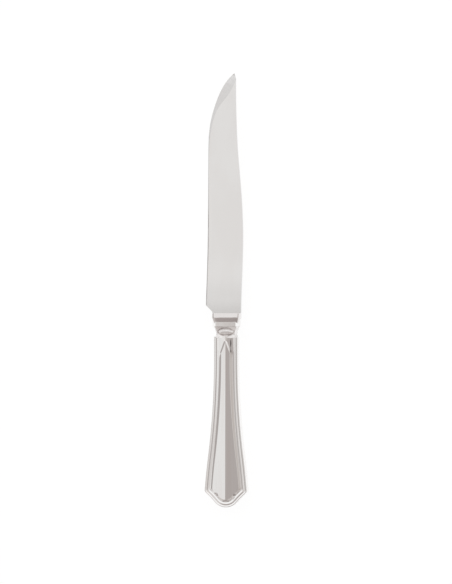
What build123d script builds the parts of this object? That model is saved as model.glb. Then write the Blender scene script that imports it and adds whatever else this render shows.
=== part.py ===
from build123d import *
import math
import os

os.makedirs("parts", exist_ok=True)

# Carving knife with a hollow handle, lying on its back. Lengths in millimetres, angles in degrees.
# X runs across the blade, from cutting edge to spine. Y runs from butt to tip. Z is up.
# Stations are measured along the knife from the end of the butt.
# Widths, heights and thicknesses named "half" are measured from the middle of the knife.

# Lengths along the knife
handle_length = 119.1
collar_length = 4.9
bolster_length = 4.0
blade_length = 158.0

# Plan of the handle
grip_half_width = 7.85
grip_straight = 15.4
shoulder_half_width = 14.22
shoulder_radius = 2.2
nose_radius = 9.7
nose_angle = 45.0
flank_hollow = 0.2

# Rise of the flank from the nose to the shoulder, as a share of its spread
flank_rise_share = 1.0133

# Where the hollow curve of the handle's side ends, as shares of the way from shoulder to grip
flare_along_share = 0.275
flare_across_share = 0.382

# Section of the handle
ridge_half_height_at_foot = 6.6
ridge_half_height_at_neck = 5.3
facet_angle = 10.0
border_half_height_at_butt = 4.1
border_half_height_at_neck = 3.4
bead_radius = 1.1
outer_groove_inset = 1.5
inner_groove_inset = 3.5
groove_width = 0.5
groove_depth = 0.3
shell_wall = 0.8

# Raised panel of the handle
panel_inset = 4.9
panel_corner_inset = 5.02
panel_corner_radius = 3.2
panel_ledge = 3.6
bracket_drop = 0.8
lobe_rise = 0.7
arch_length = 7.5
arch_margin = 3.4
arch_bulge = 0.5
panel_edge_radius = 0.3

# Neck of the handle and its cushion
neck_length = 6.7
neck_overlap = 2.0
neck_waist_rise = 2.8
neck_root_half_width = 7.7
neck_root_half_height = 4.9
neck_waist_half_width = 6.9
neck_waist_half_height = 4.4
neck_end_half_width = 8.6
neck_end_half_height = 5.0
cushion_half_length = 5.7
cushion_half_width = 2.6
cushion_half_height = 5.1
cushion_edge_radius = 0.5

# Facets of the neck and the collar, as shares of their half width and half height
front_facet_share = 0.73
side_facet_share = 0.36

# Collar
collar_half_width = 9.1
collar_half_height = 5.4

# Bolster
bolster_half_width = 9.2
bolster_half_height = 6.3
bolster_crown = 0.8
bolster_corner_radius = 3.0
bolster_shoulder_radius = 0.9
bolster_foot_radius = 0.35
seat_length = 2.6
seat_half_width = 7.9
seat_half_height = 5.15

# Blade
spine_reach = 10.95
edge_reach = 13.95
choil_half_width = 9.75
choil_rise = 0.9
root_half_width = 8.0
spine_half_thickness = 1.3
edge_half_thickness = 0.3
distal_taper = 0.2
cutting_half_thickness = 0.1
bevel_width = 5.8

# Tang
tang_length = 60.0
tang_half_width = 4.6
tang_end_half_width = 3.0
tang_half_thickness = 1.5
tang_notch_radius = 1.1
tang_notches = 3
tang_clearance = 0.1

# Braze inside the side seam
braze_width = 0.7
braze_half_height = 0.5

# How far cutting tools run past what they cut
overrun = 2.0

# Spine of the blade, as shares along the blade from the bolster and across it
spine_shares = (
    (0.0, 0.877),
    (0.139, 0.94),
    (0.354, 1.0),
    (0.557, 0.836),
    (0.671, 0.695),
    (0.873, 0.58),
    (0.975, 0.568),
)

# Cutting edge in the same way, then the width of its bevel
edge_shares = (
    (0.032, -1.0, 0.1),
    (0.095, -0.98, 0.1),
    (0.19, -0.94, 0.1),
    (0.38, -0.9, 0.1),
    (0.64, -0.89, 0.11),
    (0.736, -0.862, 0.17),
    (0.799, -0.776, 0.26),
    (0.85, -0.626, 0.41),
    (0.899, -0.43, 0.81),
    (0.936, -0.233, 1.0),
    (0.968, 0.0, 0.95),
    (1.0, 0.36, 0.62),
)

overall_length = handle_length + collar_length + bolster_length + blade_length
collar_end = handle_length + collar_length
bolster_end = collar_end + bolster_length
butt_y = -overall_length / 2
mid_z = max(ridge_half_height_at_foot, bolster_half_height)
tall = mid_z + overrun
body_length = handle_length - neck_length
waist_station = body_length - grip_straight
arch_station = body_length - arch_margin
neck_root_station = body_length - neck_overlap
neck_waist_station = body_length + neck_waist_rise
nose_end_x = nose_radius * math.sin(math.radians(nose_angle))
nose_end_station = nose_radius * (1 - math.cos(math.radians(nose_angle)))
shoulder_station = nose_end_station + flank_rise_share * (shoulder_half_width - nose_end_x)
bracket_station = shoulder_station - bracket_drop
lobe_station = bracket_station + lobe_rise
panel_corner_half_width = shoulder_half_width - panel_corner_inset
lobe_radius = panel_corner_half_width - panel_ledge
panel_foot = lobe_station - lobe_radius

mid_plane = Plane(origin=(0, butt_y, mid_z), x_dir=(1, 0, 0), z_dir=(0, 0, 1))
border_fall = (border_half_height_at_butt - border_half_height_at_neck) / body_length
border_plane = Plane(
    origin=(0, butt_y, mid_z + border_half_height_at_butt),
    x_dir=(1, 0, 0),
    z_dir=(0, border_fall, 1),
)
ridge_fall = (ridge_half_height_at_foot - ridge_half_height_at_neck) / (body_length - panel_foot)


def station_plane(station):
    return Plane(origin=(0, butt_y + station, mid_z), x_dir=(1, 0, 0), z_dir=(0, 1, 0))


def facet_plane(side, drop):
    lean = math.tan(math.radians(facet_angle))
    return Plane(
        origin=(0, butt_y + panel_foot, mid_z + ridge_half_height_at_foot - drop),
        x_dir=(0, 1, -ridge_fall),
        z_dir=(side * lean, ridge_fall, 1),
    )


# Hollow curve of the handle's side, upright at the grip
flare_rise = (waist_station - shoulder_station) * (1 - flare_along_share)
flare_spread = (shoulder_half_width - grip_half_width) * (1 - flare_across_share)
flare_radius = (flare_rise**2 + flare_spread**2) / (2 * flare_spread)
flare = 2 * math.atan(flare_spread / flare_rise)


# Side of the handle, from a foot point up to a station near the neck, set in from the outer edge
def handle_side(inset, foot, top):
    reach = flare_radius + inset
    centre_x = grip_half_width + flare_radius
    flare_foot = (centre_x - reach * math.cos(flare), waist_station - reach * math.sin(flare))
    flare_middle = (centre_x - reach * math.cos(flare / 2), waist_station - reach * math.sin(flare / 2))
    waist = (grip_half_width - inset, waist_station)
    TangentArc(flare_foot, foot, tangent=(math.sin(flare), -math.cos(flare)))
    ThreePointArc(flare_foot, flare_middle, waist)
    Line(waist, (grip_half_width - inset, top))
    return (grip_half_width - inset, top)


# Plan of the handle's body, set in from its outer edge
def body_outline(inset, top, mode=Mode.ADD):
    slope = math.radians(nose_angle)
    lean = flare / 2
    spread = 1 + math.cos(slope + lean)
    shift_x = (math.sin(slope) + math.cos(lean)) / spread
    shift_y = (math.cos(slope) - math.sin(lean)) / spread
    shoulder = (shoulder_half_width - inset * shift_x, shoulder_station + inset * shift_y)
    nose = nose_radius - inset
    nose_end = (nose * math.sin(slope), nose_radius - nose * math.cos(slope))
    nose_middle = (nose * math.sin(slope / 2), nose_radius - nose * math.cos(slope / 2))
    with BuildLine() as edge:
        ThreePointArc((0, inset), nose_middle, nose_end)
        SagittaArc(nose_end, shoulder, flank_hollow)
        end = handle_side(inset, shoulder, top)
        Line(end, (0, top))
        mirror(about=Plane.YZ)
    face = make_face(edge.edges(), mode=Mode.PRIVATE)
    corners = [face.vertices().sort_by(Axis.X)[0], face.vertices().sort_by(Axis.X)[-1]]
    add(face.face().fillet_2d(shoulder_radius, corners), mode=mode)


# Plan of the raised panel, with a bracketed foot and a pointed head, set in from its edge
def panel_outline(inset):
    lobe = lobe_radius - inset
    line_y = bracket_station + inset
    cusp = (math.sqrt(lobe**2 - (lobe_station - line_y) ** 2), line_y)
    corner = (panel_corner_half_width - inset, line_y)
    head = arch_station - arch_length
    with BuildLine() as edge:
        RadiusArc((0, lobe_station - lobe), cusp, -lobe)
        Line(cusp, corner)
        end = handle_side(panel_inset + inset, corner, head)
        SagittaArc(end, (0, arch_station - inset), -arch_bulge)
        mirror(about=Plane.YZ)
    face = make_face(edge.edges(), mode=Mode.PRIVATE)
    corners = [face.vertices().sort_by(Axis.X)[0], face.vertices().sort_by(Axis.X)[-1]]
    add(face.face().fillet_2d(panel_corner_radius, corners))


# Section with a flat front, flat sides and slanting facets between them
def faceted_section(half_width, half_height):
    front = half_width * front_facet_share
    side = half_height * side_facet_share
    with BuildLine() as edge:
        Polyline((0, half_height), (front, half_height), (half_width, side), (half_width, 0))
        mirror(about=Plane.YZ)
        mirror(about=Plane.XZ)
    make_face(edge.edges())


# Section with a gently crowned front and back
def crowned_section(half_width, half_height):
    with BuildLine() as edge:
        shoulder = (half_width, half_height - bolster_crown)
        ThreePointArc((-half_width, half_height - bolster_crown), (0, half_height), shoulder)
        Line(shoulder, (half_width, 0))
        Line((-half_width, half_height - bolster_crown), (-half_width, 0))
        mirror(about=Plane.XZ)
    face = make_face(edge.edges(), mode=Mode.PRIVATE)
    top = face.vertices().group_by(Axis.Y)[-1]
    bottom = face.vertices().group_by(Axis.Y)[0]
    add(face.face().fillet_2d(bolster_corner_radius, top + bottom))


# Upper half of the raised panel, lowered and set in by the same amount
def panel_block(inset, edge_radius):
    with BuildPart() as block:
        with BuildSketch(mid_plane):
            panel_outline(inset)
        extrude(amount=tall)
        for side in (-1, 1):
            split(bisect_by=facet_plane(side, inset), keep=Keep.BOTTOM)
        facets = block.faces().sort_by(Axis.Z)[-2:]
        fillet(facets.edges().sort_by(Edge.length)[:-2], edge_radius)  # all but the ridge they share
    return block.part


# Waisted neck of the handle, thinned by an inset
def neck_block(inset):
    with BuildPart() as block:
        with BuildSketch(station_plane(neck_root_station)):
            faceted_section(neck_root_half_width - inset, neck_root_half_height - inset)
        with BuildSketch(station_plane(neck_waist_station)):
            faceted_section(neck_waist_half_width - inset, neck_waist_half_height - inset)
        with BuildSketch(station_plane(handle_length)):
            faceted_section(neck_end_half_width - inset, neck_end_half_height - inset)
        loft()
    return block.part


panel = panel_block(0, panel_edge_radius)
panel_room = panel_block(shell_wall, panel_edge_radius)
neck = neck_block(0)
neck_room = neck_block(shell_wall)

# Room inside the handle, both halves
with BuildPart() as handle_room:
    with BuildSketch(mid_plane):
        body_outline(shell_wall, body_length - shell_wall)
    extrude(amount=tall)
    split(bisect_by=border_plane.offset(-groove_depth - shell_wall), keep=Keep.BOTTOM)
    add(panel_room)
    mirror(about=mid_plane)
    add(neck_room)

# Oval cushion on the neck
with BuildPart() as cushion:
    with BuildSketch(mid_plane):
        with Locations((0, neck_waist_station)):
            Ellipse(cushion_half_length, cushion_half_width)
    extrude(amount=cushion_half_height)
    fillet(cushion.faces().sort_by(Axis.Z)[-1].edges(), cushion_edge_radius)

# Front half shell: body, threads, raised panel and neck with its cushion
with BuildPart() as front_handle_shell:
    with BuildSketch(mid_plane):
        body_outline(0, body_length)
    extrude(amount=tall)
    split(bisect_by=border_plane, keep=Keep.BOTTOM)
    rim = front_handle_shell.faces().sort_by(Axis.Z)[-1].edges().sort_by(Axis.Y)[:-1]
    fillet(rim, bead_radius)
    for groove in (outer_groove_inset, inner_groove_inset):
        with BuildSketch(border_plane.offset(-groove_depth)):
            body_outline(groove - groove_width / 2, body_length + overrun)
            body_outline(groove + groove_width / 2, body_length + overrun, mode=Mode.SUBTRACT)
        extrude(amount=overrun, mode=Mode.SUBTRACT)
    add(panel)
    add(neck)
    add(cushion.part)
    split(bisect_by=mid_plane, keep=Keep.TOP)
    add(handle_room.part, mode=Mode.SUBTRACT)

front_handle_shell.part.label = "front_handle_shell"
export_step(front_handle_shell.part, "parts/front_handle_shell.step")

# Back half shell, the same stamping turned over
with BuildPart() as back_handle_shell:
    mirror(front_handle_shell.part, about=mid_plane)

back_handle_shell.part.label = "back_handle_shell"
export_step(back_handle_shell.part, "parts/back_handle_shell.step")

# Tang, tapered and notched so that the cement grips it
with BuildPart() as tang:
    tang_root = collar_end - seat_length
    with BuildSketch(mid_plane):
        with BuildLine():
            Polyline(
                (0, tang_root + overrun),
                (tang_half_width, tang_root + overrun),
                (tang_half_width, handle_length),
                (tang_end_half_width, tang_root - tang_length),
                (0, tang_root - tang_length),
            )
            mirror(about=Plane.YZ)
        make_face()
        pitch = tang_length / (tang_notches + 2)
        for notch in range(tang_notches):
            notch_y = tang_root - tang_length + pitch * (notch + 1)
            rise = (notch_y - tang_root + tang_length) / (handle_length - tang_root + tang_length)
            notch_x = tang_end_half_width + (tang_half_width - tang_end_half_width) * rise
            with Locations((notch_x, notch_y), (-notch_x, notch_y)):
                Circle(tang_notch_radius, mode=Mode.SUBTRACT)
    extrude(amount=tang_half_thickness, both=True)

# Bolster, a rounded moulding with a tapered foot that seats in the collar
with BuildPart() as bolster:
    with BuildSketch(station_plane(collar_end)):
        crowned_section(bolster_half_width, bolster_half_height)
    extrude(amount=bolster_length)
    fillet(bolster.faces().sort_by(Axis.Y)[-1].edges(), bolster_shoulder_radius)
    fillet(bolster.faces().sort_by(Axis.Y)[0].edges(), bolster_foot_radius)

with BuildPart() as bolster_seat:
    with BuildSketch(station_plane(collar_end - seat_length)):
        crowned_section(seat_half_width, seat_half_height)
    with BuildSketch(station_plane(collar_end)):
        crowned_section(bolster_half_width - bolster_foot_radius, bolster_half_height - bolster_foot_radius)
    loft()

# Fall of the blade's flat sides from spine to edge and from bolster to tip
across_fall = (spine_half_thickness - edge_half_thickness) / (spine_reach + edge_reach)
along_fall = distal_taper / blade_length


def flat_half_thickness(point):
    return spine_half_thickness - across_fall * (spine_reach - point.X) - along_fall * (point.Y - bolster_end)


# Point of the blade's plan, with the reach that its share is of
def blade_point(along, across, reach):
    return Vector(reach * across, bolster_end + blade_length * along)


spine_points = [blade_point(along, across, spine_reach) for along, across in spine_shares]
edge_points = [blade_point(along, across, edge_reach) for along, across, width_share in edge_shares]
bevel_widths = [bevel_width * width_share for along, across, width_share in edge_shares]

# Bevel ground along the cutting edge, fine along the straight and wide at the tip
outer_points = []
inner_points = []
before_points = edge_points[:1] + edge_points[:-1]
after_points = edge_points[1:] + edge_points[-1:]
for point, before, after, width in zip(edge_points, before_points, after_points, bevel_widths):
    inward = (after - before).normalized().rotate(Axis.Z, -90)
    rise = (flat_half_thickness(point + inward * width) - cutting_half_thickness) / width
    for reach, points in ((-overrun, outer_points), (width + overrun, inner_points)):
        place = point + inward * reach
        points.append((place.X, butt_y + place.Y, mid_z + cutting_half_thickness + rise * reach))

with BuildLine() as bevel_lines:
    outer_line = Spline(*outer_points)
    inner_line = Spline(*inner_points)

with BuildPart() as bevel_cut:
    extrude(Face.make_surface_from_curves(outer_line.edge(), inner_line.edge()), amount=tall, dir=(0, 0, 1))
    mirror(about=mid_plane)

# Blade, bolster and tang, forged in one
with BuildPart() as blade:
    with BuildSketch(mid_plane):
        with BuildLine():
            root_y = bolster_end - bolster_length / 2
            Spline(*edge_points)
            Spline(*spine_points, tangents=((0, 1), (0, 1)))
            RadiusArc(spine_points[-1], edge_points[-1], -spine_reach)
            Polyline(
                edge_points[0],
                (-choil_half_width, bolster_end + choil_rise),
                (-spine_points[0].X, bolster_end),
                (-root_half_width, bolster_end),
                (-root_half_width, root_y),
                (root_half_width, root_y),
                (root_half_width, bolster_end),
                spine_points[0],
            )
        make_face()
    extrude(amount=tall, both=True)
    for side in (-1, 1):
        flank = Plane(
            origin=(spine_reach, butt_y + bolster_end, mid_z + side * spine_half_thickness),
            x_dir=(0, 1, -side * along_fall),
            z_dir=(-across_fall, along_fall, side),
        )
        split(bisect_by=flank, keep=Keep.BOTTOM)
    add(bevel_cut.part, mode=Mode.SUBTRACT)
    add(bolster.part)
    add(bolster_seat.part)
    add(tang.part)

blade.part.label = "blade"
export_step(blade.part, "parts/blade.step")

# Collar between the bolster and the neck, bored for the tang and hollowed for the bolster's foot
with BuildPart() as collar:
    with BuildSketch(station_plane(handle_length)):
        faceted_section(collar_half_width, collar_half_height)
        slot_half_width = tang_half_width + tang_clearance
        slot_half_thickness = tang_half_thickness + tang_clearance
        Rectangle(2 * slot_half_width, 2 * slot_half_thickness, mode=Mode.SUBTRACT)
    extrude(amount=collar_length)
    add(bolster_seat.part, mode=Mode.SUBTRACT)

collar.part.label = "collar"
export_step(collar.part, "parts/collar.step")

# Fillet of braze along the inside of the side seam
with BuildPart() as seam_braze:
    with BuildSketch(mid_plane):
        body_outline(shell_wall, body_length - shell_wall)
        body_outline(shell_wall + braze_width, body_length, mode=Mode.SUBTRACT)
    extrude(amount=braze_half_height, both=True)

seam_braze.part.label = "seam_braze"
export_step(seam_braze.part, "parts/seam_braze.step")

# Cement that fills the handle round the tang
with BuildPart() as handle_filler:
    add(handle_room.part)
    add(tang.part, mode=Mode.SUBTRACT)
    add(seam_braze.part, mode=Mode.SUBTRACT)

handle_filler.part.label = "handle_filler"
export_step(handle_filler.part, "parts/handle_filler.step")
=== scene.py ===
import math
import bpy
import bmesh
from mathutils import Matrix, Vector


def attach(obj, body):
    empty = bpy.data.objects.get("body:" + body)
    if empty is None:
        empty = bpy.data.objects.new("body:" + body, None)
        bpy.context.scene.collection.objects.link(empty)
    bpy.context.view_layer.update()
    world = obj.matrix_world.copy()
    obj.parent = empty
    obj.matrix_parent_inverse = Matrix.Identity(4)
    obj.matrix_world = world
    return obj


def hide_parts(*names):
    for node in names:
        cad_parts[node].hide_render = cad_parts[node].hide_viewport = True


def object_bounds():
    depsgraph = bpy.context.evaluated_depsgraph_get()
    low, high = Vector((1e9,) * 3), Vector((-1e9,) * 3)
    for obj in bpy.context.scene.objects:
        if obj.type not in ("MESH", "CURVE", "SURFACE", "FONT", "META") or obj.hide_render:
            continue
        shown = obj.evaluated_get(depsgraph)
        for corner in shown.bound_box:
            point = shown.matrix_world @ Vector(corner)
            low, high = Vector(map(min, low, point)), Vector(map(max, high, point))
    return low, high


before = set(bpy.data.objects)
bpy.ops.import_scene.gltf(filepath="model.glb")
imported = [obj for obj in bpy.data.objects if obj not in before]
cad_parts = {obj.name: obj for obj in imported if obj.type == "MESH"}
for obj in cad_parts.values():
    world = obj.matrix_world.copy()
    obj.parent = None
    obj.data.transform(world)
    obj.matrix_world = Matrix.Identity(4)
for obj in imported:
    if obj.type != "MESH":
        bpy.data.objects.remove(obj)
cadLow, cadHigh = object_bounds()
bpy.ops.object.select_all(action="DESELECT")
bpy.context.scene.view_settings.view_transform = "Standard"
midHeight = (cadLow.z + cadHigh.z) / 2
millimetre = 0.001
buttY = -143.0    # in millimetres; every station is counted up from here
print("frame loaded with", len(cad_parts), "nodes")

# The camera looks down on the knife, from a little to the spine's side
camera = {
    "lean": math.radians(10),
    "distance": 1.5,
    "fieldHeight": 0.3854,
    "aim": Vector((-0.00052, -0.0012, midHeight)),
    "sensor": 36,
    "clip": (0.05, 20),
}
cameraSide = Vector((math.sin(camera["lean"]), 0, math.cos(camera["lean"])))


def addCamera():
    data = bpy.data.cameras.new("camera")
    data.sensor_width = camera["sensor"]
    data.lens = camera["sensor"] * camera["distance"] / camera["fieldHeight"]
    data.clip_start, data.clip_end = camera["clip"]
    holder = bpy.data.objects.new("camera", data)
    holder.location = camera["aim"] + cameraSide * camera["distance"]
    holder.rotation_euler = (0, camera["lean"], 0)
    bpy.context.scene.collection.objects.link(holder)
    bpy.context.scene.camera = holder


addCamera()
print("camera placed")


# Node helpers
def addNode(tree, kind, **settings):
    node = tree.nodes.new(kind)
    for name, value in settings.items():
        setattr(node, name, value)
    return node


def addMath(tree, operation, first, second=0.5):
    node = addNode(tree, "ShaderNodeMath", operation=operation)
    for socket, value in zip(node.inputs, (first, second)):
        if isinstance(value, (int, float)):
            socket.default_value = value
        else:
            tree.links.new(value, socket)
    return node.outputs[0]


def addBlend(tree, operation, first, second):
    node = addNode(tree, "ShaderNodeVectorMath", operation=operation)
    tree.links.new(first, node.inputs[0])
    tree.links.new(second, node.inputs[1])
    return node.outputs[0]


def addRamp(tree, amount, stops):
    ramp = addNode(tree, "ShaderNodeValToRGB")
    ramp.color_ramp.interpolation = "EASE"
    while len(ramp.color_ramp.elements) < len(stops):
        ramp.color_ramp.elements.new(0.5)
    for element, (position, level) in zip(ramp.color_ramp.elements, stops):
        element.position = position
        element.color = (level, level, level, 1) if isinstance(level, (int, float)) else (*level, 1)
    tree.links.new(amount, ramp.inputs[0])
    return ramp.outputs["Color"]


# A white tent with a dark opening round the camera and dark cards low down
studio = {
    "acrossStops": (
        (0.0, (0.455, 0.42, 0.407)), (0.24, (0.47, 0.435, 0.42)), (0.335, (0.6, 0.57, 0.555)),
        (0.385, (0.9, 0.892, 0.884)), (0.65, (0.81, 0.805, 0.798)), (0.87, (0.96, 0.96, 0.958)), (1.0, (1, 1, 1)),
    ),
    "alongStops": ((0.0, 0.0), (0.11, 0.0), (0.3, (0.97, 0.968, 0.965)), (1.0, (1, 1, 1))),
    "openingRight": 1.6,
    "leftCard": Vector((-0.99, 0, 0.12)).normalized(),
    "leftCardStops": ((0.0, 1.0), (0.74, 1.0), (0.88, (0.47, 0.44, 0.43)), (1.0, (0.42, 0.39, 0.38))),
    "rightCard": Vector((0.99, 0, 0.12)).normalized(),
    "rightCardStops": (
        (0.0, 1.0), (0.68, 1.0), (0.82, (0.74, 0.725, 0.71)), (0.93, (0.52, 0.48, 0.455)), (1.0, (0.48, 0.44, 0.415)),
    ),
    "buttCard": Vector((0.1, -0.97, 0.2)).normalized(),
    "buttCardStops": (
        (0.0, 1.0), (0.25, 1.0), (0.42, (0.8, 0.77, 0.755)), (0.66, (0.68, 0.645, 0.63)), (0.82, (0.42, 0.38, 0.37)),
        (1.0, (0.32, 0.29, 0.28)),
    ),
}


def lightStudio():
    world = bpy.data.worlds.new("studio")
    bpy.context.scene.world = world
    world.use_nodes = True
    tree = world.node_tree
    tree.nodes.clear()
    direction = addNode(tree, "ShaderNodeTexCoord").outputs["Generated"]

    def facing(axis):
        dot = addNode(tree, "ShaderNodeVectorMath", operation="DOT_PRODUCT")
        dot.inputs[1].default_value = axis
        tree.links.new(direction, dot.inputs[0])
        return dot.outputs["Value"]

    # The opening is a short slot: narrow along the knife, and narrower on the spine's side
    across = facing((cameraSide.z, 0, -cameraSide.x))
    rightward = addMath(tree, "MULTIPLY", across, studio["openingRight"])
    across = addMath(tree, "MAXIMUM", rightward, addMath(tree, "MULTIPLY", across, -1))
    along = addMath(tree, "ABSOLUTE", facing((0, 1, 0)))
    acrossLevel = addRamp(tree, across, studio["acrossStops"])
    alongLevel = addRamp(tree, along, studio["alongStops"])
    opening = addBlend(tree, "MAXIMUM", acrossLevel, alongLevel)
    leftCard = addRamp(tree, facing(studio["leftCard"]), studio["leftCardStops"])
    rightCard = addRamp(tree, facing(studio["rightCard"]), studio["rightCardStops"])
    buttCard = addRamp(tree, facing(studio["buttCard"]), studio["buttCardStops"])
    cards = addBlend(tree, "MULTIPLY", addBlend(tree, "MULTIPLY", leftCard, rightCard), buttCard)
    level = addBlend(tree, "MULTIPLY", opening, cards)
    lightPath = addNode(tree, "ShaderNodeLightPath")
    seen = addBlend(tree, "MAXIMUM", level, lightPath.outputs["Is Camera Ray"])
    background = addNode(tree, "ShaderNodeBackground")
    output = addNode(tree, "ShaderNodeOutputWorld")
    tree.links.new(seen, background.inputs["Color"])
    tree.links.new(background.outputs[0], output.inputs["Surface"])


lightStudio()
print("studio lit")

# The camera and the steel see a glowing white sheet with a faint shadow; the rest is lit by plain pale paper
floorPaper = {"size": 6.0, "paper": 0.9, "shownPaper": 0.16, "glow": 0.9, "drop": 0.0001}


def layFloor():
    bpy.ops.mesh.primitive_plane_add(size=floorPaper["size"], location=(0, 0, -floorPaper["drop"]))
    floor = bpy.context.object
    floor.name = "floor"
    material = bpy.data.materials.new("floorPaper")
    material.use_nodes = True
    tree = material.node_tree
    tree.nodes.clear()

    def paper(level):
        sheet = addNode(tree, "ShaderNodeBsdfDiffuse")
        sheet.inputs["Color"].default_value = (level, level, level, 1)
        return sheet.outputs[0]

    lightPath = addNode(tree, "ShaderNodeLightPath").outputs
    mirrored = addMath(tree, "MAXIMUM", lightPath["Is Glossy Ray"], lightPath["Is Transmission Ray"])
    seen = addMath(tree, "MAXIMUM", mirrored, lightPath["Is Camera Ray"])
    glow = addNode(tree, "ShaderNodeEmission")
    glow.inputs["Strength"].default_value = floorPaper["glow"]
    shown = addNode(tree, "ShaderNodeAddShader")
    blend = addNode(tree, "ShaderNodeMixShader")
    output = addNode(tree, "ShaderNodeOutputMaterial")
    tree.links.new(paper(floorPaper["shownPaper"]), shown.inputs[0])
    tree.links.new(glow.outputs[0], shown.inputs[1])
    tree.links.new(seen, blend.inputs[0])
    tree.links.new(paper(floorPaper["paper"]), blend.inputs[1])
    tree.links.new(shown.outputs[0], blend.inputs[2])
    tree.links.new(blend.outputs[0], output.inputs["Surface"])
    floor.data.materials.append(material)
    bpy.ops.object.select_all(action="DESELECT")


layFloor()
print("floor laid")


# Polished steel: fine polishing lines along the piece, with a faint warm and cool drift, and on request painted shade
# towards the heel
polish = {
    "scratchDepth": 0.00002,
    "driftRange": (0.36, 0.66),
    "driftDetail": 2,
    "lineRange": (0.3, 0.7),
    "lineDetail": 3,
    "rampPerMetre": 10,
    "rampMiddle": 0.5,
}


def polishedSteel(name, bright, warm, lineScale, driftScale, rough, relief, heelShadeStops=None):
    material = bpy.data.materials.new(name)
    material.use_nodes = True
    tree = material.node_tree
    shader = tree.nodes["Principled BSDF"]
    shader.inputs["Metallic"].default_value = 1.0
    place = addNode(tree, "ShaderNodeTexCoord").outputs["Object"]

    def noise(scale, detail):
        stretch = addNode(tree, "ShaderNodeMapping")
        stretch.inputs["Scale"].default_value = scale
        tree.links.new(place, stretch.inputs["Vector"])
        texture = addNode(tree, "ShaderNodeTexNoise")
        texture.inputs["Scale"].default_value = 1.0
        texture.inputs["Detail"].default_value = detail
        tree.links.new(stretch.outputs[0], texture.inputs["Vector"])
        return texture.outputs["Fac"]

    lines = noise(lineScale, polish["lineDetail"])
    drift = noise(driftScale, polish["driftDetail"])
    colour = addRamp(tree, drift, tuple(zip(polish["driftRange"], (bright, warm))))
    # Painted shade: the base colour darkens towards the heel, next to the bolster. The stops are (Y in metres, level),
    # and a ramp runs from 0 to 1 with Y = 0 in its middle
    if heelShadeStops:
        parts = addNode(tree, "ShaderNodeSeparateXYZ")
        tree.links.new(place, parts.inputs[0])
        station = addMath(tree, "MULTIPLY", parts.outputs["Y"], polish["rampPerMetre"])
        station = addMath(tree, "ADD", station, polish["rampMiddle"])
        stops = [(y * polish["rampPerMetre"] + polish["rampMiddle"], level) for y, level in heelShadeStops]
        colour = addBlend(tree, "MULTIPLY", colour, addRamp(tree, station, stops))
    tree.links.new(colour, shader.inputs["Base Color"])
    roughness = addRamp(tree, lines, tuple(zip(polish["lineRange"], rough)))
    tree.links.new(roughness, shader.inputs["Roughness"])
    bump = addNode(tree, "ShaderNodeBump")
    bump.inputs["Strength"].default_value = relief
    bump.inputs["Distance"].default_value = polish["scratchDepth"]
    tree.links.new(lines, bump.inputs["Height"])
    tree.links.new(bump.outputs[0], shader.inputs["Normal"])
    return material


# Painted shade on the blade: its base colour is darkened next to the bolster
bladeSteel = polishedSteel(
    "bladeSteel", bright=(0.83, 0.82, 0.812), warm=(0.81, 0.795, 0.785), lineScale=(900, 9000, 900),
    driftScale=(60, 25, 60), rough=(0.08, 0.13), relief=0.05, heelShadeStops=((-0.016, 0.83), (-0.005, 0.94), (0.012, 1.0))
)
bolsterSteel = polishedSteel(
    "bolsterSteel", bright=(0.8, 0.775, 0.768), warm=(0.78, 0.752, 0.742), lineScale=(250, 5000, 5000),
    driftScale=(60, 300, 60), rough=(0.08, 0.14), relief=0.05
)
bevelSteel = polishedSteel(
    "bevelSteel", bright=(0.78, 0.772, 0.768), warm=(0.76, 0.748, 0.742), lineScale=(9000, 900, 900),
    driftScale=(60, 40, 60), rough=(0.16, 0.24), relief=0.1
)
handleSteel = polishedSteel(
    "handleSteel", bright=(0.93, 0.922, 0.915), warm=(0.91, 0.888, 0.875), lineScale=(5000, 250, 5000),
    driftScale=(420, 14, 420), rough=(0.05, 0.09), relief=0.04
)
# Painted shade: the neck and its cushion are the handle's own steel, given a darker copy that stands in for the dimmer
# reflections on them
shadedNeckSteel = polishedSteel(
    "shadedNeckSteel", bright=(0.88, 0.86, 0.85), warm=(0.74, 0.71, 0.7), lineScale=(5000, 400, 5000),
    driftScale=(330, 420, 330), rough=(0.1, 0.18), relief=0.06
)
brazeMetal = polishedSteel(
    "brazeMetal", bright=(0.72, 0.56, 0.3), warm=(0.62, 0.47, 0.24), lineScale=(2500, 2500, 2500),
    driftScale=(300, 300, 300), rough=(0.3, 0.5), relief=0.3
)
# Painted shade: near-black steel for the strip beside the arch, standing in for the shade of the step there
paintedSlitShade = polishedSteel(
    "paintedSlitShade", bright=(0.05, 0.036, 0.036), warm=(0.08, 0.06, 0.058), lineScale=(2500, 2500, 2500),
    driftScale=(500, 500, 500), rough=(0.35, 0.5), relief=0.2
)
print("steels mixed")

cement = {
    "gritScale": 900,
    "gritDetail": 6,
    "stops": ((0.3, (0.3, 0.27, 0.23)), (0.7, (0.5, 0.46, 0.4))),
    "roughness": 0.9,
    "relief": 0.5,
    "gritDepth": 0.0002,
}


def mixCement():
    material = bpy.data.materials.new("handleCement")
    material.use_nodes = True
    tree = material.node_tree
    shader = tree.nodes["Principled BSDF"]
    grit = addNode(tree, "ShaderNodeTexNoise")
    grit.inputs["Scale"].default_value = cement["gritScale"]
    grit.inputs["Detail"].default_value = cement["gritDetail"]
    place = addNode(tree, "ShaderNodeTexCoord")
    tree.links.new(place.outputs["Object"], grit.inputs["Vector"])
    tree.links.new(addRamp(tree, grit.outputs["Fac"], cement["stops"]), shader.inputs["Base Color"])
    shader.inputs["Roughness"].default_value = cement["roughness"]
    bump = addNode(tree, "ShaderNodeBump")
    bump.inputs["Strength"].default_value = cement["relief"]
    bump.inputs["Distance"].default_value = cement["gritDepth"]
    tree.links.new(grit.outputs["Fac"], bump.inputs["Height"])
    tree.links.new(bump.outputs[0], shader.inputs["Normal"])
    return material


def setMaterial(node, material):
    for slot in node.material_slots:
        slot.material = material


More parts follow.
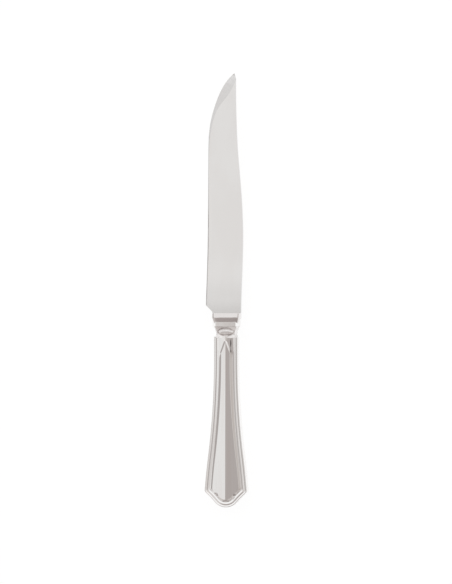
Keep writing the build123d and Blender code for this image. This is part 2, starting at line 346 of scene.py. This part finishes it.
setMaterial(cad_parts["handle_filler"], mixCement())
setMaterial(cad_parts["seam_braze"], brazeMetal)
for name in ("front_handle_shell", "back_handle_shell", "collar"):
    setMaterial(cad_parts[name], handleSteel)
setMaterial(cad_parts["blade"], bladeSteel)


# Modelling helpers
def pickUp(*pieces):
    bpy.ops.object.select_all(action="DESELECT")
    for piece in pieces:
        piece.select_set(True)
    bpy.context.view_layer.objects.active = pieces[-1]


def applyModifier(piece, kind, **settings):
    modifier = piece.modifiers.new(kind.lower(), kind)
    for name, value in settings.items():
        setattr(modifier, name, value)
    bpy.ops.object.modifier_apply(modifier=modifier.name)


# Rounds off every edge sharper than the angle, in degrees
def easeEdges(piece, width, segments, angle):
    applyModifier(piece, "BEVEL", width=width, segments=segments, limit_method="ANGLE", angle_limit=math.radians(angle))


# Smooth shading that stops at sharp edges and keeps the wide faces flat
def shadeByFaces(piece, angle):
    pickUp(piece)
    bpy.ops.object.shade_smooth_by_angle(angle=math.radians(angle))
    applyModifier(piece, "WEIGHTED_NORMAL", keep_sharp=True)


# After an extrusion: the new vertex that stands on each vertex of the old row
def extrudedRow(row):
    return [edge.other_vert(vertex) for vertex in row for edge in vertex.link_edges if edge.other_vert(vertex).select]


# A closed bar: a filled ring is drawn, then extruded and moved onto each ring of points in turn
def modelBar(name, rings):
    bpy.ops.object.select_all(action="DESELECT")
    bpy.ops.mesh.primitive_circle_add(vertices=len(rings[0]), radius=6 * millimetre, fill_type="NGON")
    bar = bpy.context.object
    bar.name = name
    bpy.ops.object.mode_set(mode="EDIT")
    mesh = bmesh.from_edit_mesh(bar.data)
    mesh.verts.ensure_lookup_table()
    row = list(mesh.verts)
    for i, points in enumerate(rings):
        if i > 0:
            bpy.ops.mesh.extrude_region_move()
            row = extrudedRow(row)
        for vertex, point in zip(row, points):
            vertex.co = point
    bpy.ops.mesh.select_all(action="SELECT")
    bpy.ops.mesh.normals_make_consistent(inside=False)
    bpy.ops.object.mode_set(mode="OBJECT")
    return bar


# Copy of a CAD node, merged; with an ease, its flat faces are dissolved and its edges rounded
merge = {"gap": 0.000002, "flatAngle": 0.2}


def copyNode(nodeName, pieceName, smoothAngle, ease=None, easeAngle=None):
    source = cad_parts[nodeName]
    piece = bpy.data.objects.new(pieceName, source.data.copy())
    bpy.context.scene.collection.objects.link(piece)
    piece.data.materials.clear()
    pickUp(piece)
    bpy.ops.object.mode_set(mode="EDIT")
    bpy.ops.mesh.select_all(action="SELECT")
    bpy.ops.mesh.remove_doubles(threshold=merge["gap"])
    if ease:
        bpy.ops.mesh.dissolve_limited(angle_limit=math.radians(merge["flatAngle"]))
    bpy.ops.object.mode_set(mode="OBJECT")
    if ease:
        easeEdges(piece, ease, segments=2, angle=easeAngle)
    shadeByFaces(piece, smoothAngle)
    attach(piece, "root")
    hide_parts(nodeName)
    return piece


# The forging: its own bolster is cut out between two values of Y, and a rounded one takes its place
forging = {
    "smoothAngle": 25,
    "cutOut": (-0.0235, -0.0151),
    "rootY": -0.0149,
    "bolsterY": (-0.0237, -0.01495),
    "flankTilt": (-0.040161, 0.001266),
    "flatness": 0.99999,
    "facesUp": 0.5,
}


def cutOut(piece, low, high):
    pickUp(piece)
    bpy.ops.object.mode_set(mode="EDIT")
    mesh = bmesh.from_edit_mesh(piece.data)
    for place in (low, high):
        bpy.ops.mesh.select_all(action="SELECT")
        bpy.ops.mesh.bisect(plane_co=(0, place, 0), plane_no=(0, 1, 0))
    bpy.ops.mesh.select_all(action="DESELECT")
    for face in mesh.faces:
        face.select = low < face.calc_center_median().y < high
    bpy.ops.mesh.delete(type="FACE")
    bpy.ops.mesh.select_all(action="SELECT")
    bpy.ops.mesh.fill_holes(sides=0)
    bpy.ops.mesh.normals_make_consistent(inside=False)
    bpy.ops.object.mode_set(mode="OBJECT")


# The bolster: a rounded bar across the knife, from the blade down to the collar, in millimetres
bolster = {
    "rings": (    # station, half width, half height
        (127.99, 8.5, 5.2), (127.98, 9.0, 5.66), (127.9, 9.12, 5.78), (127.7, 9.17, 5.86), (127.2, 9.2, 6.0),
        (126.7, 9.2, 6.13), (126.2, 9.2, 6.27), (125.7, 9.2, 6.4), (125.3, 9.19, 6.5), (125.05, 9.17, 6.54),
        (124.85, 9.15, 6.52), (124.6, 9.1, 6.43), (124.3, 9.04, 6.3), (123.9, 8.95, 6.13), (123.4, 8.83, 5.93),
        (122.9, 8.7, 5.73), (122.4, 8.56, 5.53), (121.9, 8.4, 5.3), (121.4, 8.2, 5.0),
        (121.35, 4.55, 1.45), (119.4, 4.55, 1.45),    # root of the tang, inside the collar
    ),
    "points": 96,
    "squareness": 7,
}


# A squared oval, from a round one
def bolsterRing(station, wide, high):
    power = 2 / bolster["squareness"]
    points = []
    for i in range(bolster["points"]):
        angle = math.tau * (i + 0.5) / bolster["points"]
        across = math.copysign(abs(math.cos(angle)) ** power, math.cos(angle)) * wide
        up = math.copysign(abs(math.sin(angle)) ** power, math.sin(angle)) * high
        points.append((across * millimetre, (station + buttY) * millimetre, midHeight + up * millimetre))
    return points


# The flanks of the blade are flat, and the bevel meets them in a crisp line
def shadeBlade(piece):
    bpy.ops.object.shade_smooth_by_angle(angle=math.radians(forging["smoothAngle"]))
    mesh = bmesh.new()
    mesh.from_mesh(piece.data)
    flanks = [Vector((*forging["flankTilt"], side)).normalized() for side in (1, -1)]
    flat = {face.index for face in mesh.faces
            if max(face.normal.dot(flank) for flank in flanks) > forging["flatness"]}
    low, high = forging["bolsterY"]
    for face in mesh.faces:
        station = face.calc_center_median().y
        ground = abs(face.normal.z) > forging["facesUp"] and station > forging["rootY"] and face.index not in flat
        face.material_index = 1 if ground else 2 if low < station < high else 0
    for edge in mesh.edges:
        if len({face.index in flat for face in edge.link_faces}) == 2:
            edge.smooth = False
    mesh.to_mesh(piece.data)
    mesh.free()
    applyModifier(piece, "WEIGHTED_NORMAL", keep_sharp=True)


blade = copyNode("blade", "blade_forging", forging["smoothAngle"])
cutOut(blade, *forging["cutOut"])
bolsterBar = modelBar("bolster", [bolsterRing(*ring) for ring in bolster["rings"]])
pickUp(bolsterBar, blade)
bpy.ops.object.join()
shadeBlade(blade)
for material in (bladeSteel, bevelSteel, bolsterSteel):
    blade.data.materials.append(material)
print("blade finished:", len(blade.data.polygons), "faces")

band = {"ease": 0.00012, "easeAngle": 25, "smoothAngle": 30}
collar = copyNode("collar", "collar_band", band["smoothAngle"], band["ease"], band["easeAngle"])
collar.data.materials.append(handleSteel)
print("collar finished:", len(collar.data.polygons), "faces")

# The handle's sizes and stations are in millimetres
handle = {
    "gripHalfWidth": 7.9,
    "gripStation": 97.0,
    "bodyEnd": 112.4,
    "shoulder": (14.22, 10.3),
    "shoulderRadius": 2.2,
    "noseRadius": 9.7,
    "noseAngle": math.radians(45),
    "flankHollow": 0.2,
    "flareAlong": 0.725,
    "flareAcross": 0.618,
    "borderAtButt": 4.4,
    "borderAtNeck": 4.1,
    "ridgeAtFoot": 6.6,
    "ridgeAtNeck": 5.3,
    "facetAngle": math.radians(10),
    "panelFoot": 4.6,
    "panelInset": 4.9,
    "panelCorner": (9.2, 9.5),
    "panelCornerRadius": 3.2,
    "lobeRadius": 5.6,
    "lobeStation": 10.8,
    "archFoot": 101.5,
    "archTip": 109.0,
    "archBulge": 0.02,
    "panelRim": 0.05,
    "riseSlope": 0.66,
    "steepRise": 1.8,
    "leastRise": 0.01,
    "rampStart": 99.5,
    "rampEnd": 104.5,
    "rampHeight": 4.95,
    "edgeWidth": 0.55,
    "edgeLift": 0.2,
    "rollSteps": 9,
    "fineSteps": 60,
    "headSteps": 3,
    "innerRoll": 2.5,
    "grooveFoot": 0.05,
    "smoothAngle": 28,
    "mergeGap": 0.0000005,
    "seamNick": 0.06,
    "narrowStart": 15.0,
    "narrowEnd": 90.0,
    "narrowShare": 0.08,
}
# Steps along each stretch of an outline
outlineSteps = {"nose": 16, "flank": 10, "shoulder": 12, "lowerSide": 18, "flare": 26, "grip": 14}
# Section of the border inside its rounded edge: how far each loop is set in, and its drop under the border's level
borderSection = (
    (0.62, -0.19), (0.7, -0.16), (1.3, 0.13), (1.38, 0.15), (1.46, 0.13), (2.08, -0.2), (2.16, -0.23), (2.24, -0.24),
    (2.34, -0.24), (2.42, -0.23), (2.5, -0.2), (3.26, 0.14), (3.34, 0.165), (3.42, 0.16),
)
# Slope from the border up to the panel: share of its width left to go, and share of its height
# where there is room for a straight slope, and where it is steep and hollow
riseSection = (
    (0.98, 0.0, 0.0), (0.95, 0.02, 0.0), (0.8, 0.17, 0.02), (0.65, 0.32, 0.07), (0.5, 0.47, 0.15), (0.37, 0.6, 0.27),
    (0.25, 0.73, 0.43), (0.14, 0.86, 0.64), (0.05, 0.95, 0.86),
)
# Rounded edge of the panel: how far each loop is set in, and how far it lies under the facet
edgeSection = ((0.0, 0.03), (0.06, 0.01), (0.14, 0.0))

flareRise = (handle["gripStation"] - handle["shoulder"][1]) * handle["flareAlong"]
flareSpread = (handle["shoulder"][0] - handle["gripHalfWidth"]) * handle["flareAcross"]
flareRadius = (flareRise**2 + flareSpread**2) / (2 * flareSpread)
flareTurn = 2 * math.atan(flareSpread / flareRise)


# Points of the arc that leaves one point in a given direction and ends at another
def arcPoints(start, heading, end, count):
    chord = end - start
    across = Vector((-heading.y, heading.x))
    lean = chord.dot(across)
    if abs(lean) < 1e-9:
        return [start.lerp(end, i / count) for i in range(count + 1)]
    centre = start + across * chord.length_squared / (2 * lean)
    turn = 2 * math.atan2(lean, chord.dot(heading))
    spoke = start - centre
    points = []
    for i in range(count + 1):
        angle = turn * i / count
        x = spoke.x * math.cos(angle) - spoke.y * math.sin(angle)
        y = spoke.x * math.sin(angle) + spoke.y * math.cos(angle)
        points.append(centre + Vector((x, y)))
    return points


# From a corner, rounded, up the flared side to the grip; returns where the rounding starts as well
def sidePoints(corner, incoming, inset, radius):
    reach = flareRadius + inset
    centre = Vector((handle["gripHalfWidth"] + flareRadius, handle["gripStation"]))
    flareFoot = centre - Vector((math.cos(flareTurn), math.sin(flareTurn))) * reach
    heading = Vector((math.sin(flareTurn), -math.cos(flareTurn)))
    lower = arcPoints(flareFoot, heading, corner, handle["fineSteps"])
    outgoing = (lower[-2] - lower[-1]).normalized()
    cut = radius * math.tan(incoming.angle(outgoing) / 2)
    roundStart = corner - incoming * cut
    roundEnd = corner + outgoing * cut
    points = arcPoints(roundStart, incoming, roundEnd, outlineSteps["shoulder"])[1:]
    points += arcPoints(flareFoot, heading, roundEnd, outlineSteps["lowerSide"])[-2::-1]
    for i in range(1, outlineSteps["flare"] + 1):
        angle = flareTurn * (1 - i / outlineSteps["flare"])
        points.append(centre - Vector((math.cos(angle), math.sin(angle))) * reach)
    return roundStart, points


# Right half of the body's outline, from the middle of the butt to the end of the body
def bodyHalf(inset):
    slope = handle["noseAngle"]
    lean = flareTurn / 2
    spread = 1 + math.cos(slope + lean)
    shiftX = (math.sin(slope) + math.cos(lean)) / spread
    shiftY = (math.cos(slope) - math.sin(lean)) / spread
    corner = Vector((handle["shoulder"][0] - inset * shiftX, handle["shoulder"][1] + inset * shiftY))
    nose = handle["noseRadius"] - inset
    points = []
    for i in range(outlineSteps["nose"] + 1):
        angle = slope * i / outlineSteps["nose"]
        points.append(Vector((nose * math.sin(angle), handle["noseRadius"] - nose * math.cos(angle))))
    noseEnd = points[-1]
    chord = corner - noseEnd
    inward = Vector((-chord.y, chord.x)).normalized() * 4 * handle["flankHollow"]
    roundStart, side = sidePoints(corner, (chord - inward).normalized(), inset, handle["shoulderRadius"])
    flankEnd = (roundStart - noseEnd).dot(chord) / chord.length_squared
    for i in range(1, outlineSteps["flank"] + 1):
        along = flankEnd * i / outlineSteps["flank"]
        points.append(noseEnd + chord * along + inward * along * (1 - along))
    points += side
    for i in range(1, outlineSteps["grip"] + 1):
        rise = (handle["bodyEnd"] - handle["gripStation"]) * i / outlineSteps["grip"]
        points.append(Vector((handle["gripHalfWidth"] - inset, handle["gripStation"] + rise)))
    return points


# Right half of the panel's outline, from the bottom of its lobe to the tip of its arch
def panelHalf(inset):
    lobe = handle["lobeRadius"] - inset
    line = handle["panelCorner"][1] + inset
    cuspTurn = math.acos((handle["lobeStation"] - line) / lobe)
    points = []
    for i in range(outlineSteps["nose"] + 1):
        angle = cuspTurn * i / outlineSteps["nose"]
        points.append(Vector((lobe * math.sin(angle), handle["lobeStation"] - lobe * math.cos(angle))))
    cusp = points[-1]
    corner = Vector((handle["panelCorner"][0] - inset, line))
    sideInset = handle["panelInset"] + inset
    roundStart, side = sidePoints(corner, Vector((1, 0)), sideInset, handle["panelCornerRadius"])
    for i in range(1, outlineSteps["flank"] + 1):
        points.append(cusp.lerp(roundStart, i / outlineSteps["flank"]))
    points += side
    head = Vector((handle["gripHalfWidth"] - sideInset, handle["archFoot"]))
    tip = Vector((0, handle["archTip"] - inset))
    grip = points[-1]
    straight = handle["headSteps"]
    for i in range(1, straight + 1):
        points.append(grip.lerp(head, i / straight))
    chord = tip - head
    outward = Vector((chord.y, -chord.x)).normalized() * 4 * handle["archBulge"]
    for i in range(1, outlineSteps["grip"] - straight + 1):
        along = i / (outlineSteps["grip"] - straight)
        points.append(head + chord * along + outward * along * (1 - along))
    return points


def borderHeight(station):
    fall = (handle["borderAtButt"] - handle["borderAtNeck"]) / handle["bodyEnd"]
    return handle["borderAtButt"] - fall * station


def smoothShare(value, low, high):
    along = min(max((value - low) / (high - low), 0), 1)
    return along * along * (3 - 2 * along)


# The border's rolls narrow towards the neck
def borderPoints(inset):
    points = []
    for near, far in zip(bodyHalf(inset), bodyHalf(inset * (1 - handle["narrowShare"]))):
        points.append(near.lerp(far, smoothShare(near.y, handle["narrowStart"], handle["narrowEnd"])))
    return bothHalves(points)


# The ground round the head of the panel swells to a low roof up to the neck
def groundHeight(point, drop):
    share = smoothShare(point.y, handle["rampStart"], handle["rampEnd"])
    roof = handle["rampHeight"] - math.tan(handle["facetAngle"]) * abs(point.x)
    return (borderHeight(point.y) - drop) * (1 - share) + roof * share


def facetHeight(point):
    fall = (handle["ridgeAtFoot"] - handle["ridgeAtNeck"]) / (handle["bodyEnd"] - handle["panelFoot"])
    ridge = handle["ridgeAtFoot"] - fall * (point.y - handle["panelFoot"])
    return ridge - math.tan(handle["facetAngle"]) * abs(point.x)


def bothHalves(half):
    return [Vector((-point.x, point.y)) for point in half[:0:-1]] + half


def raised(points, height):
    return [Vector((point.x, point.y, height(point))) for point in points]


def borderLoops():
    level = borderHeight
    edge = handle["edgeWidth"]
    loops = [
        raised(borderPoints(handle["seamNick"]), lambda point: 0),
        raised(borderPoints(0), lambda point: handle["seamNick"]),
        raised(borderPoints(0), lambda point: (level(point.y) + handle["edgeLift"] - edge) / 2),
    ]
    for i in range(handle["rollSteps"] + 1):
        angle = math.pi / 2 * i / handle["rollSteps"]
        fall = edge * (1 - math.sin(angle)) - handle["edgeLift"]
        loops.append(raised(borderPoints(edge * (1 - math.cos(angle))), lambda point: level(point.y) - fall))
    foot, footDrop = borderSection[-1]
    for inset, drop in borderSection:
        inner = smoothShare(inset, handle["innerRoll"], foot)
        loops.append(raised(borderPoints(inset),
                            lambda point: (level(point.y) - drop) * (1 - inner) + groundHeight(point, drop) * inner))
    loops.append(raised(borderPoints(foot + handle["grooveFoot"]), lambda point: groundHeight(point, footDrop)))
    return loops


# The slope that rises from the border's last loop, and the rounded edge of the panel
def panelLoops(groundLoop):
    foot = [Vector((point.x, point.y)) for point in groundLoop]
    edge = bothHalves(panelHalf(handle["panelRim"]))
    drop = borderSection[-1][1]
    edgeFall = edgeSection[0][1]
    slope = handle["riseSlope"]
    loops = []
    for left, straightShare, hollowShare in riseSection:
        points = []
        for i, (start, end) in enumerate(zip(foot, edge)):
            away = start - end
            if i == 0 or i == len(edge) - 1:
                away.x = 0
            top = facetHeight(end) - edgeFall
            height = top - groundHeight(start.lerp(end, 0.5), drop)
            width = min(height / slope, away.length)
            point = end + away.normalized() * width * left
            ground = groundHeight(point, drop)
            hollow = smoothShare(height / max(width, handle["leastRise"]), slope, slope * handle["steepRise"])
            share = straightShare * (1 - hollow) + hollowShare * hollow
            points.append(Vector((point.x, point.y, ground + (top - ground) * share)))
        loops.append(points)
    for inset, fall in edgeSection:
        loops.append(raised(bothHalves(panelHalf(handle["panelRim"] + inset)), lambda point: facetHeight(point) - fall))
    return loops


# From millimetres, with the station in Y, to metres in the frame
def fromHandle(point):
    return Vector((point.x * millimetre, (point.y + buttY) * millimetre, midHeight + point.z * millimetre))


# Front half of the handle: its seam line is drawn, then extruded loop by loop up to the panel
def modelHandleFront():
    outer = borderLoops()
    inner = panelLoops(outer[-1])
    count = len(outer[0])
    bpy.ops.object.select_all(action="DESELECT")
    bpy.ops.mesh.primitive_circle_add(vertices=count, radius=14 * millimetre, location=(0, 0, midHeight))
    shell = bpy.context.object
    bpy.ops.object.transform_apply(location=True, rotation=False, scale=False)
    bpy.ops.object.mode_set(mode="EDIT")
    mesh = bmesh.from_edit_mesh(shell.data)
    mesh.verts.ensure_lookup_table()
    row = list(mesh.verts)
    for vertex, point in zip(row, outer[0]):
        vertex.co = fromHandle(point)
    # The line is opened at the neck
    bpy.ops.mesh.select_all(action="DESELECT")
    for edge in mesh.edges:
        if row[0] in edge.verts and row[-1] in edge.verts:
            edge.select = True
    bpy.ops.mesh.delete(type="EDGE")
    bpy.ops.mesh.select_all(action="SELECT")
    rows = [row]
    for points in outer[1:] + inner:
        bpy.ops.mesh.extrude_edges_move()
        rows.append(extrudedRow(rows[-1]))
        for vertex, point in zip(rows[-1], points):
            vertex.co = fromHandle(point)
    border = rows[: len(outer)]
    panel = rows[len(outer):]
    middle = count // 2
    mesh.faces.new(panel[-1][: middle + 1])       # left facet
    mesh.faces.new(panel[-1][middle:])            # right facet
    # The ground between the tip of the arch and the neck is a low roof
    roof = mesh.verts.new(fromHandle(Vector((0, handle["bodyEnd"], handle["rampHeight"]))))
    mesh.faces.new((border[-1][0], panel[0][0], roof))
    mesh.faces.new((roof, panel[0][-1], border[-1][-1]))
    mesh.faces.new(border[0])                     # joint face between the halves
    mesh.faces.new([line[0] for line in border] + [roof] + [line[-1] for line in border[::-1]])
    bpy.ops.mesh.select_all(action="SELECT")
    bpy.ops.mesh.remove_doubles(threshold=handle["mergeGap"])
    bpy.ops.mesh.normals_make_consistent(inside=False)
    bpy.ops.object.mode_set(mode="OBJECT")
    return shell


# Neck: a six-sided bar, pulled through its stations, with an oval cushion on its face
neck = {
    "stations": (111.5, 115.2, 119.1),
    "halfWidths": (7.4, 6.9, 8.6),
    "heights": (4.97, 4.4, 5.0),
    "steps": 16,
    "topShare": 0.86,
    "sideShare": 0.36,
    "edge": 0.00014,
    "edgeAngle": 30,
    "cushionStation": 115.2,
    "cushionSize": (5.35, 2.4),
    "cushionRings": (
        (0.0, 4.0), (0.0, 4.06), (0.16, 4.2), (0.34, 4.34), (0.5, 4.46), (0.66, 4.56), (0.86, 4.66), (1.1, 4.75),
        (1.4, 4.83), (1.75, 4.89), (2.1, 4.92),
    ),
    "moatRings": ((0.0, 4.1), (-0.42, 4.4), (-1.1, 4.9), (-1.6, 5.3)),
    "cushionPoints": 64,
}


def throughThree(stations, values, station):
    (a, b, c), (p, q, r) = stations, values
    share = p * (station - b) * (station - c) / ((a - b) * (a - c))
    share += q * (station - a) * (station - c) / ((b - a) * (b - c))
    return share + r * (station - a) * (station - b) / ((c - a) * (c - b))


def neckSection(station):
    width = throughThree(neck["stations"], neck["halfWidths"], station)
    height = throughThree(neck["stations"], neck["heights"], station)
    corners = ((1, 0), (1, neck["sideShare"]), (neck["topShare"], 1))
    corners += tuple((-x, z) for x, z in corners[::-1])
    return [Vector((x * width, station, z * height)) for x, z in corners]


def modelNeck():
    low, high = neck["stations"][0], neck["stations"][2]
    stations = [low + (high - low) * i / neck["steps"] for i in range(neck["steps"] + 1)]
    bar = modelBar("neck", [[fromHandle(point) for point in neckSection(station)] for station in stations])
    easeEdges(bar, neck["edge"], segments=3, angle=neck["edgeAngle"])
    return bar


# A solid of oval rings, each set in by so much, at its height
def modelOval(name, sections):
    wide, long = neck["cushionSize"]
    count = neck["cushionPoints"]
    rings = []
    for inset, height in sections:
        ring = []
        for i in range(count):
            angle = math.tau * i / count
            across = (wide - inset) * math.cos(angle)
            along = (long - inset) * math.sin(angle)
            ring.append(fromHandle(Vector((across, neck["cushionStation"] + along, height))))
        rings.append(ring)
    return modelBar(name, rings)


# The cushion stands in a hollow of its own
def sinkMoat(bar):
    cutter = modelOval("moat", neck["moatRings"])
    pickUp(bar)
    applyModifier(bar, "BOOLEAN", operation="DIFFERENCE", object=cutter)
    bpy.data.objects.remove(cutter)


# Painted shade: a dark strip beside the arch, which stands in for the shade of the step there; it follows the shell's
# own surface, found from above
shadeSlit = {
    "across": 3.45,
    "stations": (101.8, 110.8),
    "halfWidth": 0.34,
    "depth": 0.3,
    "lift": 0.02,
    "points": 32,
    "lookFrom": 50,
}


def modelShadeSlit(shell):
    bpy.context.view_layer.update()
    low, high = shadeSlit["stations"]
    surface = []
    for i in range(shadeSlit["points"]):
        angle = math.tau * (i + 0.5) / shadeSlit["points"]
        station = (low + high) / 2 + math.cos(angle) * (high - low) / 2
        above = fromHandle(Vector((shadeSlit["across"] + shadeSlit["halfWidth"] * math.sin(angle), station, shadeSlit["lookFrom"])))
        surface.append(shell.ray_cast(above, Vector((0, 0, -1)))[1])
    return modelBar("archShadeSlit", [[point + Vector((0, 0, height * millimetre)) for point in surface]
                                  for height in (-shadeSlit["depth"], shadeSlit["lift"])])


def finishShell(shell, nodeName):
    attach(shell, "root")
    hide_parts(nodeName)
    print(shell.name, "finished:", len(shell.data.polygons), "faces")


front = modelHandleFront()
# Painted shade: a dark strip laid along the shell beside the arch
archShadeSlit = modelShadeSlit(front)
neckBar = modelNeck()
sinkMoat(neckBar)
cushion = modelOval("cushion", neck["cushionRings"])
# Painted shade: the neck and cushion get the darker copy of the steel, and the strip beside the arch its near-black
# paint
for piece, material in ((cushion, shadedNeckSteel), (neckBar, shadedNeckSteel), (front, handleSteel), (archShadeSlit, paintedSlitShade)):
    piece.data.materials.append(material)
pickUp(cushion, neckBar, archShadeSlit, front)
bpy.ops.object.join()
front.name = "front_shell"
shadeByFaces(front, handle["smoothAngle"])

# The back half is the same stamping, turned over
back = front.copy()
back.data = front.data.copy()
back.name = "back_shell"
bpy.context.scene.collection.objects.link(back)
pickUp(back)
bpy.ops.object.mode_set(mode="EDIT")
bpy.ops.mesh.select_all(action="SELECT")
bpy.ops.transform.resize(value=(1, 1, -1), center_override=(0, 0, midHeight))
bpy.ops.mesh.normals_make_consistent(inside=False)
bpy.ops.object.mode_set(mode="OBJECT")
finishShell(front, "front_handle_shell")
finishShell(back, "back_handle_shell")
